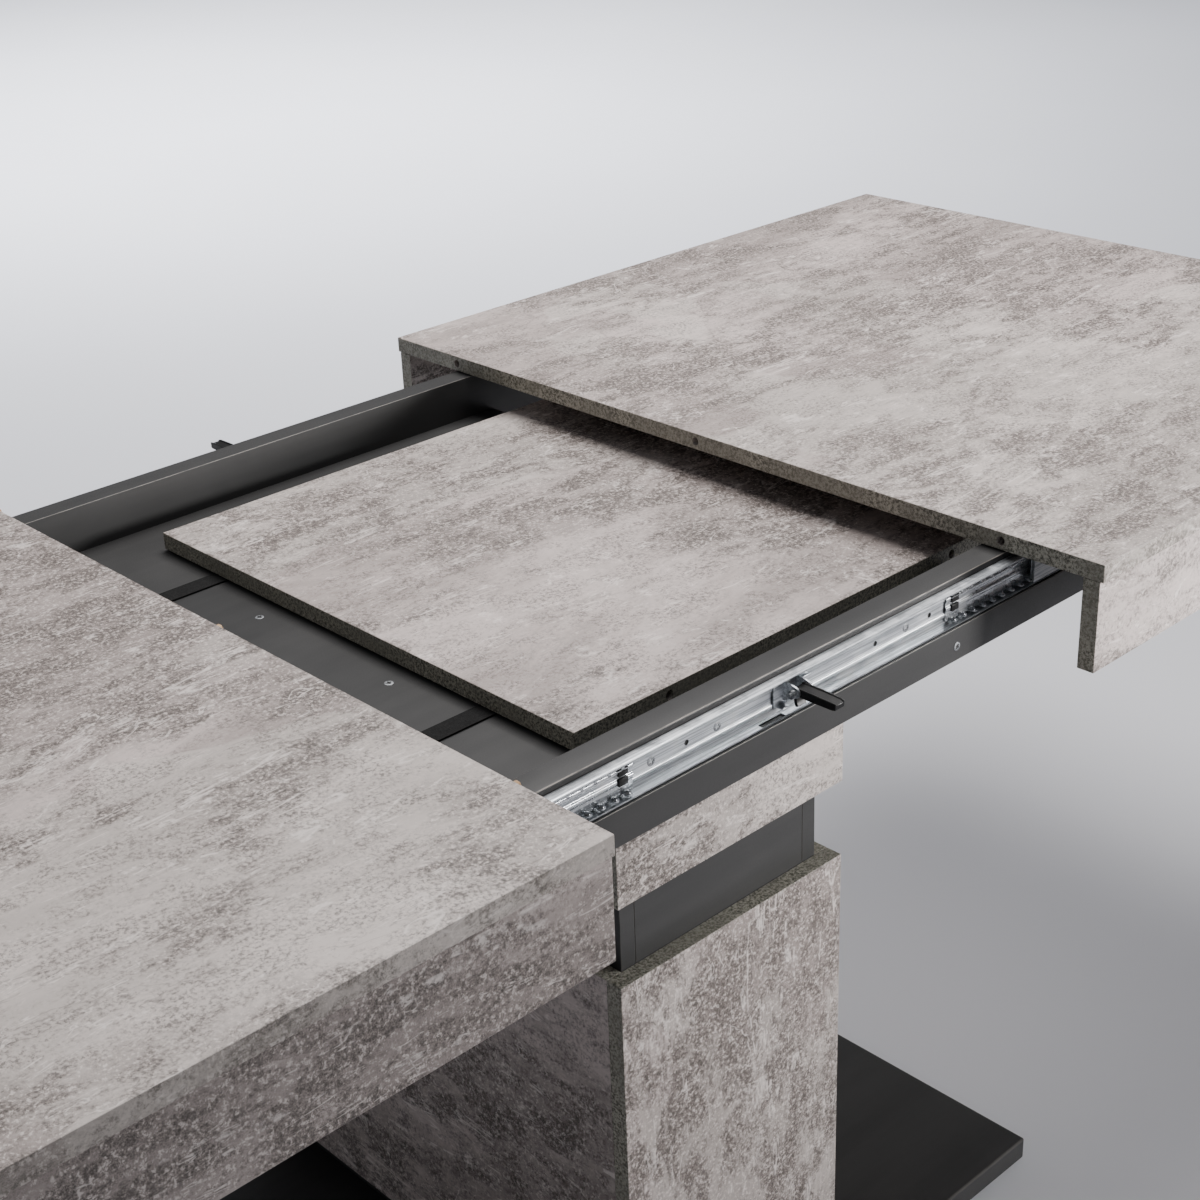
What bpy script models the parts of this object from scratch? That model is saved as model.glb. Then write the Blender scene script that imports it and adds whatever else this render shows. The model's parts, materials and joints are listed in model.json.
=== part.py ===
"""Extendable pedestal dining table, standing opened with its leaf stored in the well.

The two halves of the top run on ball-bearing slides that are fixed to a pair of rails
on the pedestal. +X is the way the table extends, Y runs across it and +Z is up; the
floor is z = 0 and the middle of the opened gap is x = 0. Metres throughout.
"Front" is -X, "back" is +X, "left" is +Y and "right" is -Y.
"""
import math

import bmesh
import bpy
from mathutils import Vector

for leftover in list(bpy.data.objects):
    bpy.data.objects.remove(leftover, do_unlink=True)

# ---- Overall sizes
TABLE_HEIGHT = 0.760
TABLE_WIDTH = 0.900
HALF_LENGTH = 0.800
LEAF_WIDTH = 0.550
STANDING_GAP = 0.542
BOARD = 0.016
EDGE_BEVEL = 0.0006
BEVEL_STEPS = 2
SMOOTH_BELOW = math.radians(30)

# ---- Clearances
TOUCH_GAP = 0.0003
HOLE_CLEARANCE = 0.0003
PIVOT_CLEARANCE = 0.0001
SLIDE_CLEARANCE = 0.0004
ROLL_CLEARANCE = 0.0006

# ---- Dowels between the halves and the leaf
DOWEL_RADIUS = 0.004
DOWEL_PROUD = 0.008
DOWEL_SUNK = 0.020
DOWEL_SOCKET = 0.012
DOWEL_SPACING = 0.350
DOWEL_SIDES = 24

# ---- Aprons under the halves
APRON_HEIGHT = 0.082
APRON_SETBACK = 0.003

# ---- Rails, with a step along the outside that the slides stand on
RAIL_HALF_LENGTH = 0.770
RAIL_INSET = 0.121
RAIL_TOP_WIDTH = 0.025
RAIL_STEP_WIDTH = 0.012
RAIL_TOP_GAP = 0.0015
RAIL_STEP_HEIGHT = 0.030

# ---- Ball-bearing slides, standing on edge with their open side outward
SLIDE_HALF_LENGTH = 0.750
SLIDE_BELOW_RAIL_TOP = 0.005
SLIDE_HEIGHT = 0.032
SLIDE_DEPTH = 0.0102
SLIDE_STEEL = 0.0012
CAGE_STEEL = 0.0010
BALL_DIAMETER = 0.0050
CAGE_LENGTH = 0.400
BACK_CAGE_CLOSED = 0.0545
FRONT_CAGE_CLOSED = 0.0295
INNER_SETBACK = 0.027
INNER_LENGTH = 0.600

# ---- Angles that carry the top on the sliding members
ANGLE_STEEL = 0.002
ANGLE_ABOVE_STEP = 0.0045
ANGLE_WIDTH = 0.030

# ---- Release levers and their latch brackets
LEVER_X = 0.0
LEVER_WIDTH = 0.012
LEVER_THICKNESS = 0.007
LEVER_LENGTH = 0.041
LEVER_BELOW_SLIDE_TOP = 0.011
LEVER_PIVOT_IN = 0.0038
LEVER_HEEL_IN = 0.0016
LEVER_HEEL_THICKNESS = 0.0038
LEVER_HEEL_HEIGHT = 0.010
PIVOT_RADIUS = 0.0015
PIVOT_SIDES = 24
BRACKET_HALF_LENGTH = 0.018
EAR_STEEL = 0.0015
EAR_LENGTH = 0.0083
EAR_HALF_HEIGHT = 0.0045

# ---- Head of the pedestal
WELL_DEPTH = 0.0435
HEAD_HALF_LENGTH = 0.300
BATTEN_START = 0.140
BATTEN_WIDTH = 0.070
BATTEN_HEIGHT = 0.030
BATTEN_HALF_WIDTH = 0.280
CROSSBAR_START = 0.735
CROSSBAR_WIDTH = 0.025
FELT_Y = 0.181
FELT_WIDTH = 0.020
FELT_THICKNESS = 0.0014
FELT_END_MARGIN = 0.010

# ---- Stored leaf, turned a quarter and lying on the felt
LEAF_START_X = -0.149
LEAF_OFFSET_Y = -0.004

# ---- Column: a box core with bands of cladding
COLUMN_HALF_X = 0.132
COLUMN_HALF_Y = 0.301
UPPER_BAND_BOTTOM = 0.563
RECESS_HEIGHT = 0.073
PLINTH_GAP = 0.030

# ---- Base
BASE_LENGTH = 0.800
BASE_WIDTH = 0.660
BASE_THICKNESS = 0.025
BASE_BEVEL = 0.002
GLIDE_RADIUS = 0.020
GLIDE_HEIGHT = 0.006
GLIDE_INSET = 0.040
GLIDE_SIDES = 32

# ---- Finishes: base colour, metallic, roughness
FINISHES = {
    "concrete": ((0.42, 0.37, 0.34, 1.0), 0.0, 0.60),
    "anthracite": ((0.085, 0.085, 0.088, 1.0), 0.0, 0.45),
    "steel": ((0.62, 0.65, 0.68, 1.0), 1.0, 0.30),
    "black": ((0.015, 0.015, 0.016, 1.0), 0.0, 0.45),
    "felt": ((0.012, 0.012, 0.012, 1.0), 0.0, 0.95),
    "beech": ((0.55, 0.38, 0.22, 1.0), 0.0, 0.60),
}

# ---- Values that follow from the sizes above. A drop is measured down from the table top,
# and a depth outward from the slide's back plane.
HALF_WIDTH = TABLE_WIDTH / 2
HALF_GAP = STANDING_GAP / 2
TOP_END = HALF_GAP + HALF_LENGTH
APRON_OUT_Y = HALF_WIDTH - APRON_SETBACK
APRON_IN_Y = APRON_OUT_Y - BOARD
APRON_END_X = TOP_END - APRON_SETBACK
RAIL_INNER_Y = HALF_WIDTH - RAIL_INSET
RAIL_OUTER_Y = RAIL_INNER_Y + RAIL_TOP_WIDTH
RAIL_STEP_Y = RAIL_OUTER_Y + RAIL_STEP_WIDTH
RAIL_TOP_DROP = BOARD + RAIL_TOP_GAP
SLIDE_BACK_Y = RAIL_OUTER_Y + TOUCH_GAP
SLIDE_TOP_DROP = RAIL_TOP_DROP + SLIDE_BELOW_RAIL_TOP
SLIDE_MID_DROP = SLIDE_TOP_DROP + SLIDE_HEIGHT / 2
RAIL_STEP_DROP = SLIDE_TOP_DROP + SLIDE_HEIGHT + TOUCH_GAP
RAIL_BOTTOM_DROP = RAIL_STEP_DROP + RAIL_STEP_HEIGHT
CAGE_BACK = SLIDE_STEEL + SLIDE_CLEARANCE
INNER_BACK = CAGE_BACK + CAGE_STEEL + SLIDE_CLEARANCE
INNER_FRONT = SLIDE_DEPTH - SLIDE_CLEARANCE
CAGE_FRONT = INNER_FRONT - SLIDE_STEEL - ROLL_CLEARANCE
CAGE_HALF_HEIGHT = SLIDE_HEIGHT / 2 - SLIDE_STEEL - ROLL_CLEARANCE
INNER_HALF_HEIGHT = SLIDE_HEIGHT / 2 - SLIDE_STEEL - BALL_DIAMETER
CAGE_STARTS = {
    "back": HALF_GAP / 2 + BACK_CAGE_CLOSED,
    "front": HALF_GAP / 2 + FRONT_CAGE_CLOSED,
}
INNER_START = HALF_GAP + INNER_SETBACK
ANGLE_Y = SLIDE_BACK_Y + SLIDE_DEPTH + TOUCH_GAP
ANGLE_BOTTOM_DROP = RAIL_STEP_DROP - ANGLE_ABOVE_STEP
BRACKET_BACK = SLIDE_STEEL + SLIDE_CLEARANCE
BRACKET_FRONT = SLIDE_DEPTH - SLIDE_STEEL
BRACKET_HALF_HEIGHT = SLIDE_HEIGHT / 2 - SLIDE_STEEL - ROLL_CLEARANCE
LEVER_DROP = SLIDE_TOP_DROP + LEVER_BELOW_SLIDE_TOP
LEVER_BASE_Y = SLIDE_BACK_Y + SLIDE_DEPTH + ROLL_CLEARANCE
LEVER_TIP_Y = LEVER_BASE_Y + LEVER_LENGTH
LEVER_PIVOT_Y = LEVER_BASE_Y + LEVER_PIVOT_IN
LEVER_HEEL_Y = LEVER_BASE_Y + LEVER_HEEL_IN
EAR_OUT_Y = LEVER_BASE_Y + EAR_LENGTH
HEAD_DROP = RAIL_TOP_DROP + WELL_DEPTH
HEAD_UNDER_DROP = HEAD_DROP + BOARD + TOUCH_GAP
FELT_TOP_DROP = HEAD_DROP - TOUCH_GAP - FELT_THICKNESS
LEAF_BOTTOM_DROP = FELT_TOP_DROP - TOUCH_GAP
LEAF_TOP_DROP = LEAF_BOTTOM_DROP - BOARD
LEAF_RIGHT_Y = LEAF_OFFSET_Y - LEAF_WIDTH / 2
LEAF_LEFT_Y = LEAF_OFFSET_Y + LEAF_WIDTH / 2
CORE_HALF_X = COLUMN_HALF_X - BOARD - TOUCH_GAP
CORE_HALF_Y = COLUMN_HALF_Y - BOARD - TOUCH_GAP
BASE_BOTTOM = GLIDE_HEIGHT + TOUCH_GAP
BASE_TOP = BASE_BOTTOM + BASE_THICKNESS
CORE_BOTTOM = BASE_TOP + TOUCH_GAP
CORE_TOP = TABLE_HEIGHT - HEAD_UNDER_DROP


def height(drop):
    """Height above the floor of a level that lies drop below the table top."""
    return TABLE_HEIGHT - drop


def finish(obj, kind):
    """Gives the object its own material of this kind."""
    colour, metallic, roughness = FINISHES[kind]
    material = bpy.data.materials.new(obj.name + "_finish")
    material.use_nodes = True
    shader = material.node_tree.nodes["Principled BSDF"]
    shader.inputs["Base Color"].default_value = colour
    shader.inputs["Metallic"].default_value = metallic
    shader.inputs["Roughness"].default_value = roughness
    obj.data.materials.append(material)


def carrier(name, at):
    """Empty on the axis that a moving group turns about or slides along."""
    empty = bpy.data.objects.new(name, None)
    empty.location = at
    bpy.context.scene.collection.objects.link(empty)
    return empty


def solid(name, mesh_data, kind, at=(0.0, 0.0, 0.0), parent=None):
    """Links a mesh whose points are in world metres, with its origin moved to at."""
    bmesh.ops.recalc_face_normals(mesh_data, faces=mesh_data.faces)
    bmesh.ops.translate(mesh_data, verts=mesh_data.verts, vec=-Vector(at))
    mesh = bpy.data.meshes.new(name)
    mesh_data.to_mesh(mesh)
    mesh_data.free()
    mesh.shade_smooth()
    mesh.set_sharp_from_angle(angle=SMOOTH_BELOW)
    obj = bpy.data.objects.new(name, mesh)
    bpy.context.scene.collection.objects.link(obj)
    obj.location = at
    if parent is not None:
        obj.parent = parent
        obj.location = Vector(at) - parent.location
    if kind is not None:
        finish(obj, kind)
    return obj


def box_mesh(low, high):
    """Box between two corners, in any order."""
    low, high = (
        [min(a, b) for a, b in zip(low, high)],
        [max(a, b) for a, b in zip(low, high)],
    )
    data = bmesh.new()
    bmesh.ops.create_cube(data, size=1.0)
    for vert in data.verts:
        for axis in range(3):
            share = vert.co[axis] + 0.5
            vert.co[axis] = low[axis] + share * (high[axis] - low[axis])
    return data


def bar_mesh(profile, x_start, x_end):
    """Straight bar along X with the given (y, z) outline."""
    data = bmesh.new()
    ends = []
    for x in (x_start, x_end):
        ends.append([data.verts.new((x, y, z)) for y, z in profile])
    data.faces.new(ends[0])
    data.faces.new(list(reversed(ends[1])))
    count = len(profile)
    for i in range(count):
        j = (i + 1) % count
        data.faces.new((ends[0][i], ends[0][j], ends[1][j], ends[1][i]))
    return data


def rod_mesh(centre, axis, radius, start, end, sides):
    """Round rod along X (0), Y (1) or Z (2) from start to end on that axis."""
    data = bmesh.new()
    others = [other for other in range(3) if other != axis]
    rings = []
    for along in (start, end):
        ring = []
        for step in range(sides):
            angle = 2 * math.pi * (step + 0.5) / sides
            point = [0.0, 0.0, 0.0]
            point[axis] = along
            point[others[0]] = centre[others[0]] + radius * math.cos(angle)
            point[others[1]] = centre[others[1]] + radius * math.sin(angle)
            ring.append(data.verts.new(point))
        rings.append(ring)
    data.faces.new(rings[0])
    data.faces.new(list(reversed(rings[1])))
    for i in range(sides):
        j = (i + 1) % sides
        data.faces.new((rings[0][i], rings[0][j], rings[1][j], rings[1][i]))
    return data


def soften(obj, width=EDGE_BEVEL):
    """Small rounding of a board's or bar's edges."""
    bevel = obj.modifiers.new("edges", "BEVEL")
    bevel.width = width
    bevel.segments = BEVEL_STEPS
    bevel.limit_method = "ANGLE"


def combine(obj, name, operation, mesh_data):
    """Cuts or joins a helper shape on obj with an exact Boolean."""
    helper = solid(name, mesh_data, None)
    helper.hide_render = True
    helper.display_type = "WIRE"
    if obj.parent is not None:
        helper.parent = obj.parent
        helper.location = -obj.parent.location
    boolean = obj.modifiers.new(name, "BOOLEAN")
    boolean.operation = operation
    boolean.solver = "EXACT"
    boolean.object = helper


def board(name, low, high, kind, parent=None):
    obj = solid(name, box_mesh(low, high), kind, parent=parent)
    soften(obj)
    return obj


def channel(depth_back, depth_front, half_height, steel, side, web_at_back):
    """(y, z) outline of a channel on one side of the table, centred on the slide.

    Depths are measured outward from the slide's back plane.
    """
    back = SLIDE_BACK_Y + depth_back
    front = SLIDE_BACK_Y + depth_front
    if web_at_back:
        web, tips, inside = back, front, back + steel
    else:
        web, tips, inside = front, back, front - steel
    mid = height(SLIDE_MID_DROP)
    outline = [
        (web, mid - half_height),
        (tips, mid - half_height),
        (tips, mid - half_height + steel),
        (inside, mid - half_height + steel),
        (inside, mid + half_height - steel),
        (tips, mid + half_height - steel),
        (tips, mid + half_height),
        (web, mid + half_height),
    ]
    return [(side * y, z) for y, z in outline]


SIDES = {"left": 1, "right": -1}
ENDS = {"front": -1, "back": 1}

# ---------------------------------------------------------------- pedestal: base
base = solid(
    "base_plate",
    box_mesh(
        (-BASE_LENGTH / 2, -BASE_WIDTH / 2, BASE_BOTTOM),
        (BASE_LENGTH / 2, BASE_WIDTH / 2, BASE_TOP),
    ),
    "anthracite",
)
soften(base, BASE_BEVEL)
for end_name, end in ENDS.items():
    for side_name, side in SIDES.items():
        glide_at = (
            end * (BASE_LENGTH / 2 - GLIDE_INSET),
            side * (BASE_WIDTH / 2 - GLIDE_INSET),
            0.0,
        )
        solid(
            f"floor_glide_{end_name}_{side_name}",
            rod_mesh(glide_at, 2, GLIDE_RADIUS, 0.0, GLIDE_HEIGHT, GLIDE_SIDES),
            "black",
        )

# ---------------------------------------------------------------- pedestal: column
BANDS = {
    "upper": (UPPER_BAND_BOTTOM, CORE_TOP),
    "lower": (BASE_TOP + PLINTH_GAP, UPPER_BAND_BOTTOM - RECESS_HEIGHT),
}
for end_name, end in ENDS.items():
    board(
        f"core_board_{end_name}",
        (end * (CORE_HALF_X - BOARD), -CORE_HALF_Y, CORE_BOTTOM),
        (end * CORE_HALF_X, CORE_HALF_Y, CORE_TOP),
        "anthracite",
    )
    for band_name, (band_low, band_high) in BANDS.items():
        board(
            f"{band_name}_cladding_{end_name}",
            (end * (COLUMN_HALF_X - BOARD), -CORE_HALF_Y, band_low),
            (end * COLUMN_HALF_X, CORE_HALF_Y, band_high),
            "concrete",
        )
for side_name, side in SIDES.items():
    inset = CORE_HALF_X - BOARD - TOUCH_GAP
    board(
        f"core_board_{side_name}",
        (-inset, side * (CORE_HALF_Y - BOARD), CORE_BOTTOM),
        (inset, side * CORE_HALF_Y, CORE_TOP),
        "anthracite",
    )
    for band_name, (band_low, band_high) in BANDS.items():
        board(
            f"{band_name}_cladding_{side_name}",
            (-COLUMN_HALF_X, side * (COLUMN_HALF_Y - BOARD), band_low),
            (COLUMN_HALF_X, side * COLUMN_HALF_Y, band_high),
            "concrete",
        )

# ---------------------------------------------------------------- pedestal: head
HEAD_EDGE_Y = RAIL_INNER_Y - TOUCH_GAP
board(
    "head_panel",
    (-HEAD_HALF_LENGTH, -HEAD_EDGE_Y, height(HEAD_DROP + BOARD)),
    (HEAD_HALF_LENGTH, HEAD_EDGE_Y, height(HEAD_DROP)),
    "anthracite",
)
for end_name, end in ENDS.items():
    board(
        f"head_batten_{end_name}",
        (
            end * BATTEN_START,
            -BATTEN_HALF_WIDTH,
            height(HEAD_UNDER_DROP + BATTEN_HEIGHT),
        ),
        (end * (BATTEN_START + BATTEN_WIDTH), BATTEN_HALF_WIDTH, CORE_TOP),
        "anthracite",
    )
    board(
        f"end_crossbar_{end_name}",
        (end * CROSSBAR_START, -HEAD_EDGE_Y, height(RAIL_BOTTOM_DROP)),
        (
            end * (CROSSBAR_START + CROSSBAR_WIDTH),
            HEAD_EDGE_Y,
            height(FELT_TOP_DROP),
        ),
        "anthracite",
    )
for side_name, side in SIDES.items():
    solid(
        f"felt_strip_{side_name}",
        box_mesh(
            (
                -HEAD_HALF_LENGTH + FELT_END_MARGIN,
                side * FELT_Y - FELT_WIDTH / 2,
                height(HEAD_DROP - TOUCH_GAP),
            ),
            (
                HEAD_HALF_LENGTH - FELT_END_MARGIN,
                side * FELT_Y + FELT_WIDTH / 2,
                height(FELT_TOP_DROP),
            ),
        ),
        "felt",
    )

# ---------------------------------------------------------------- pedestal: rails and slides
for side_name, side in SIDES.items():
    rail_outline = [
        (side * RAIL_INNER_Y, height(RAIL_BOTTOM_DROP)),
        (side * RAIL_STEP_Y, height(RAIL_BOTTOM_DROP)),
        (side * RAIL_STEP_Y, height(RAIL_STEP_DROP)),
        (side * RAIL_OUTER_Y, height(RAIL_STEP_DROP)),
        (side * RAIL_OUTER_Y, height(RAIL_TOP_DROP)),
        (side * RAIL_INNER_Y, height(RAIL_TOP_DROP)),
    ]
    rail = solid(
        f"rail_{side_name}",
        bar_mesh(rail_outline, -RAIL_HALF_LENGTH, RAIL_HALF_LENGTH),
        "anthracite",
    )
    soften(rail)
    solid(
        f"slide_outer_{side_name}",
        bar_mesh(
            channel(0.0, SLIDE_DEPTH, SLIDE_HEIGHT / 2, SLIDE_STEEL, side, True),
            -SLIDE_HALF_LENGTH,
            SLIDE_HALF_LENGTH,
        ),
        "steel",
    )

# ---------------------------------------------------------------- release levers
PIVOT_HALF_LENGTH = LEVER_WIDTH / 2 + TOUCH_GAP + EAR_STEEL
for side_name, side in SIDES.items():
    bracket = solid(
        f"latch_bracket_{side_name}",
        box_mesh(
            (
                LEVER_X - BRACKET_HALF_LENGTH,
                side * (SLIDE_BACK_Y + BRACKET_BACK),
                height(SLIDE_MID_DROP) - BRACKET_HALF_HEIGHT,
            ),
            (
                LEVER_X + BRACKET_HALF_LENGTH,
                side * (SLIDE_BACK_Y + BRACKET_FRONT),
                height(SLIDE_MID_DROP) + BRACKET_HALF_HEIGHT,
            ),
        ),
        "steel",
    )
    for ear_name, way in ENDS.items():
        combine(
            bracket,
            f"ear_{ear_name}_{side_name}",
            "UNION",
            box_mesh(
                (
                    LEVER_X + way * (LEVER_WIDTH / 2 + TOUCH_GAP),
                    side * (SLIDE_BACK_Y + BRACKET_BACK + EAR_STEEL),
                    height(LEVER_DROP) - EAR_HALF_HEIGHT,
                ),
                (
                    LEVER_X + way * PIVOT_HALF_LENGTH,
                    side * EAR_OUT_Y,
                    height(LEVER_DROP) + EAR_HALF_HEIGHT,
                ),
            ),
        )
    pivot_at = (LEVER_X, side * LEVER_PIVOT_Y, height(LEVER_DROP))
    combine(
        bracket,
        f"pivot_hole_{side_name}",
        "DIFFERENCE",
        rod_mesh(
            pivot_at,
            0,
            PIVOT_RADIUS + PIVOT_CLEARANCE,
            LEVER_X - 2 * PIVOT_HALF_LENGTH,
            LEVER_X + 2 * PIVOT_HALF_LENGTH,
            PIVOT_SIDES,
        ),
    )
    lever = solid(
        f"release_lever_{side_name}",
        box_mesh(
            (
                LEVER_X - LEVER_WIDTH / 2,
                side * LEVER_BASE_Y,
                height(LEVER_DROP) - LEVER_THICKNESS / 2,
            ),
            (
                LEVER_X + LEVER_WIDTH / 2,
                side * LEVER_TIP_Y,
                height(LEVER_DROP) + LEVER_THICKNESS / 2,
            ),
        ),
        "black",
        at=pivot_at,
    )
    soften(lever)
    combine(
        lever,
        f"heel_{side_name}",
        "UNION",
        box_mesh(
            (
                LEVER_X - LEVER_WIDTH / 2 + EDGE_BEVEL,
                side * LEVER_HEEL_Y,
                height(LEVER_DROP) - LEVER_THICKNESS / 2 - LEVER_HEEL_HEIGHT,
            ),
            (
                LEVER_X + LEVER_WIDTH / 2 - EDGE_BEVEL,
                side * (LEVER_HEEL_Y + LEVER_HEEL_THICKNESS),
                height(LEVER_DROP),
            ),
        ),
    )
    combine(
        lever,
        f"pivot_pin_{side_name}",
        "UNION",
        rod_mesh(
            pivot_at,
            0,
            PIVOT_RADIUS,
            LEVER_X - PIVOT_HALF_LENGTH,
            LEVER_X + PIVOT_HALF_LENGTH,
            PIVOT_SIDES,
        ),
    )

# ---------------------------------------------------------------- halves of the top
HALF_CARRIERS = {
    end_name: carrier(
        f"{end_name}_half_travel", (end * HALF_GAP, 0.0, height(SLIDE_MID_DROP))
    )
    for end_name, end in ENDS.items()
}
DOWEL_ROWS = {"left": DOWEL_SPACING, "middle": 0.0, "right": -DOWEL_SPACING}
for end_name, end in ENDS.items():
    half = HALF_CARRIERS[end_name]
    top = board(
        f"{end_name}_top_board",
        (end * HALF_GAP, -HALF_WIDTH, height(BOARD)),
        (end * TOP_END, HALF_WIDTH, height(0.0)),
        "concrete",
        half,
    )
    pinned = end_name == "front"
    depth = DOWEL_SUNK + TOUCH_GAP if pinned else DOWEL_SOCKET
    for row_name, row_y in DOWEL_ROWS.items():
        hole_at = (0.0, row_y, height(BOARD / 2))
        combine(
            top,
            f"{end_name}_dowel_hole_{row_name}",
            "DIFFERENCE",
            rod_mesh(
                hole_at,
                0,
                DOWEL_RADIUS,
                end * (HALF_GAP - BOARD),
                end * (HALF_GAP + depth),
                DOWEL_SIDES,
            ),
        )
        if pinned:
            solid(
                f"front_dowel_{row_name}",
                rod_mesh(
                    hole_at,
                    0,
                    DOWEL_RADIUS - HOLE_CLEARANCE,
                    -HALF_GAP - DOWEL_SUNK,
                    -HALF_GAP + DOWEL_PROUD,
                    DOWEL_SIDES,
                ),
                "beech",
                parent=half,
            )
    board(
        f"{end_name}_end_apron",
        (
            end * (APRON_END_X - BOARD),
            -APRON_IN_Y + TOUCH_GAP,
            height(BOARD + APRON_HEIGHT),
        ),
        (end * APRON_END_X, APRON_IN_Y - TOUCH_GAP, height(BOARD + TOUCH_GAP)),
        "concrete",
        half,
    )
    for side_name, side in SIDES.items():
        board(
            f"{end_name}_side_apron_{side_name}",
            (end * HALF_GAP, side * APRON_IN_Y, height(BOARD + APRON_HEIGHT)),
            (end * APRON_END_X, side * APRON_OUT_Y, height(BOARD + TOUCH_GAP)),
            "concrete",
            half,
        )
        solid(
            f"{end_name}_slide_inner_{side_name}",
            bar_mesh(
                channel(
                    INNER_BACK,
                    INNER_FRONT,
                    INNER_HALF_HEIGHT,
                    SLIDE_STEEL,
                    side,
                    False,
                ),
                end * INNER_START,
                end * (INNER_START + INNER_LENGTH),
            ),
            "steel",
            parent=half,
        )
        angle_top = height(BOARD + TOUCH_GAP)
        angle_outline = [
            (side * ANGLE_Y, height(ANGLE_BOTTOM_DROP)),
            (side * (ANGLE_Y + ANGLE_STEEL), height(ANGLE_BOTTOM_DROP)),
            (side * (ANGLE_Y + ANGLE_STEEL), angle_top - ANGLE_STEEL),
            (side * (ANGLE_Y + ANGLE_WIDTH), angle_top - ANGLE_STEEL),
            (side * (ANGLE_Y + ANGLE_WIDTH), angle_top),
            (side * ANGLE_Y, angle_top),
        ]
        solid(
            f"{end_name}_mounting_angle_{side_name}",
            bar_mesh(
                angle_outline,
                end * INNER_START,
                end * (INNER_START + INNER_LENGTH),
            ),
            "steel",
            parent=half,
        )
        cage_start = CAGE_STARTS[end_name]
        solid(
            f"{end_name}_ball_cage_{side_name}",
            bar_mesh(
                channel(
                    CAGE_BACK, CAGE_FRONT, CAGE_HALF_HEIGHT, CAGE_STEEL, side, True
                ),
                end * cage_start,
                end * (cage_start + CAGE_LENGTH),
            ),
            "steel",
            at=(
                end * cage_start,
                side * (SLIDE_BACK_Y + CAGE_BACK),
                height(SLIDE_MID_DROP),
            ),
        )

# ---------------------------------------------------------------- stored leaf
leaf_travel = carrier(
    "leaf_travel", (LEAF_START_X, LEAF_RIGHT_Y, height(LEAF_BOTTOM_DROP))
)
leaf = board(
    "leaf_board",
    (LEAF_START_X, LEAF_RIGHT_Y, height(LEAF_BOTTOM_DROP)),
    (LEAF_START_X + TABLE_WIDTH, LEAF_LEFT_Y, height(LEAF_TOP_DROP)),
    "concrete",
    leaf_travel,
)
for row_name, row_offset in DOWEL_ROWS.items():
    pin_at = (
        LEAF_START_X + HALF_WIDTH + row_offset,
        0.0,
        height(LEAF_BOTTOM_DROP - BOARD / 2),
    )
    combine(
        leaf,
        f"leaf_socket_{row_name}",
        "DIFFERENCE",
        rod_mesh(
            pin_at,
            1,
            DOWEL_RADIUS,
            LEAF_RIGHT_Y - BOARD,
            LEAF_RIGHT_Y + DOWEL_SOCKET,
            DOWEL_SIDES,
        ),
    )
    combine(
        leaf,
        f"leaf_dowel_hole_{row_name}",
        "DIFFERENCE",
        rod_mesh(
            pin_at,
            1,
            DOWEL_RADIUS,
            LEAF_LEFT_Y - DOWEL_SUNK - TOUCH_GAP,
            LEAF_LEFT_Y + BOARD,
            DOWEL_SIDES,
        ),
    )
    solid(
        f"leaf_dowel_{row_name}",
        rod_mesh(
            pin_at,
            1,
            DOWEL_RADIUS - HOLE_CLEARANCE,
            LEAF_LEFT_Y - DOWEL_SUNK,
            LEAF_LEFT_Y + DOWEL_PROUD,
            DOWEL_SIDES,
        ),
        "beech",
        parent=leaf_travel,
    )
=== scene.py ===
"""Looks of an extendable pedestal table in concrete decor, pulled open on its slides.

Metres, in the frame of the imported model: +X is the way the table extends, Y runs across it
and +Z is up. "Front" is -X, "back" is +X, "left" is +Y and "right" is -Y.
"""

import json
import math

import bmesh
import bpy
from mathutils import Matrix, Vector


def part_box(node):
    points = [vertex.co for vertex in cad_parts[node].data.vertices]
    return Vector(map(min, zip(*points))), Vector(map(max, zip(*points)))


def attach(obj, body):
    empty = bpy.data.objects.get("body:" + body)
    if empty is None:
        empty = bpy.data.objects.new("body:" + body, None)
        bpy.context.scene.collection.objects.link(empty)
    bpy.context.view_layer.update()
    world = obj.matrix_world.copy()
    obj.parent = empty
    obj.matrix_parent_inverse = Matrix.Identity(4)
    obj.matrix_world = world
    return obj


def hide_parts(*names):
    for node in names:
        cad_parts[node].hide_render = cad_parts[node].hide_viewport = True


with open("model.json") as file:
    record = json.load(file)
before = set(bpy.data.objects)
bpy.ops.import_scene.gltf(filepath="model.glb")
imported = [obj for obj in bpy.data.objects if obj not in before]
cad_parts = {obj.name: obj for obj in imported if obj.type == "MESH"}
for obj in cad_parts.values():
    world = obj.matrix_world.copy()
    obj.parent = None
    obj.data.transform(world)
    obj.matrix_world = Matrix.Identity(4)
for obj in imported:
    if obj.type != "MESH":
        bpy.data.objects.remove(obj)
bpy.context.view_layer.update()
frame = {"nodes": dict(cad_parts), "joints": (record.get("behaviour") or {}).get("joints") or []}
NODES = frame["nodes"]
SIDES = {"left": 1, "right": -1}
ENDS = {"front": -1, "back": 1}

# ------------------------------------------------------------------ camera
CAMERA_AT = Vector((-0.9964, -1.2304, 1.4304))
CAMERA_HEADING = math.radians(47.264)
CAMERA_DOWN = math.radians(25.472)
CAMERA_TILT = math.radians(2.307)
CAMERA_LENS = 59.85

# ------------------------------------------------------------------ sizes taken from the frame
SLIDE_LOW, SLIDE_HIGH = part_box("slide_outer_left")
SLIDE_BACK_Y = SLIDE_LOW.y
SLIDE_DEPTH = SLIDE_HIGH.y - SLIDE_LOW.y
SLIDE_MID_Z = (SLIDE_LOW.z + SLIDE_HIGH.z) / 2
SLIDE_HALF = (SLIDE_HIGH.z - SLIDE_LOW.z) / 2
TOUCH_GAP = 0.0003
SMOOTH_BELOW = math.radians(35)


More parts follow.
